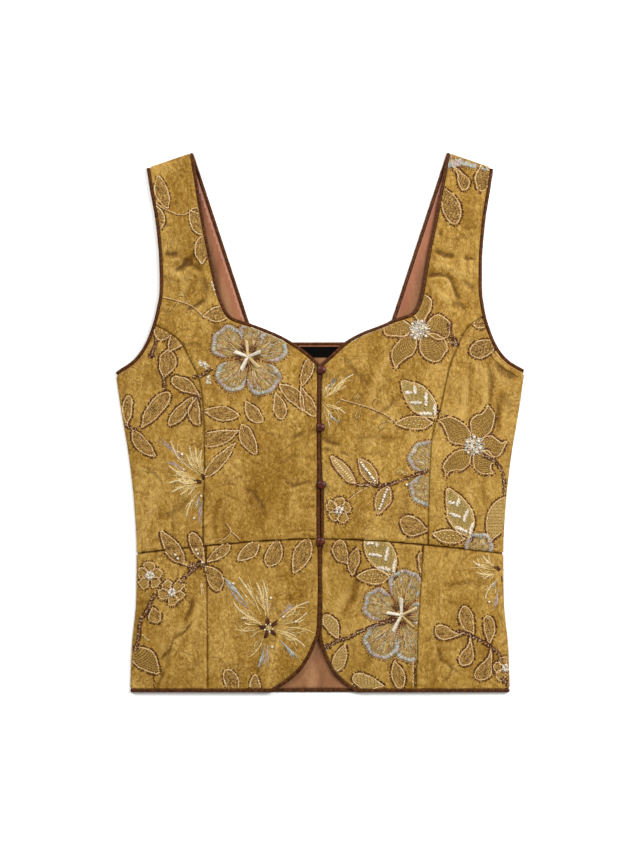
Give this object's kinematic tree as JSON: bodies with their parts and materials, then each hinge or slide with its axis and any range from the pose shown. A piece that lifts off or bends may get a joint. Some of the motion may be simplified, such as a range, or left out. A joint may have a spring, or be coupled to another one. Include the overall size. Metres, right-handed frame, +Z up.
{
  "type": "embroidered waistcoat",
  "caption": "Sleeveless square-strapped waistcoat laid flat, with a sweetheart front neckline, princess seams, a short peplum, bound edges and cloth-covered buttons down the front.",
  "frame": {"origin": "on the surface that the waistcoat lies on, under the middle of its outline", "axes": "+Z up out of the front, +Y up the waistcoat from the hem to the shoulders, +X to the right as seen from above, which is the wearer's left"},
  "size_m": [0.4185, 0.5558, 0.0118],
  "materials": {
    "gold_satin": "crushed old-gold satin with a soft sheen, embroidered",
    "brown_binding": "dark brown satin bias binding",
    "rose_lining": "smooth terracotta-pink lining",
    "label_cloth": "black woven label, blank",
    "covered_button": "button covered in dark brown satin"
  },
  "bodies": {
    "root": {"front_centre_left": "gold_satin", "front_side_left": "gold_satin", "peplum_centre_left": "gold_satin", "peplum_side_left": "gold_satin", "front_centre_right": "gold_satin", "front_side_right": "gold_satin", "peplum_centre_right": "gold_satin", "peplum_side_right": "gold_satin", "back_bodice": "gold_satin", "back_peplum": "gold_satin", "back_lining": "rose_lining", "neck_label": "label_cloth", "binding_front_left": "brown_binding", "binding_armhole_front_left": "brown_binding", "binding_armhole_back_left": "brown_binding", "binding_front_right": "brown_binding", "binding_armhole_front_right": "brown_binding", "binding_armhole_back_right": "brown_binding", "binding_back_neck": "brown_binding", "binding_back_hem": "brown_binding", "button_1": "covered_button", "button_2": "covered_button", "button_3": "covered_button", "button_4": "covered_button"}
  },
  "joints": []
}
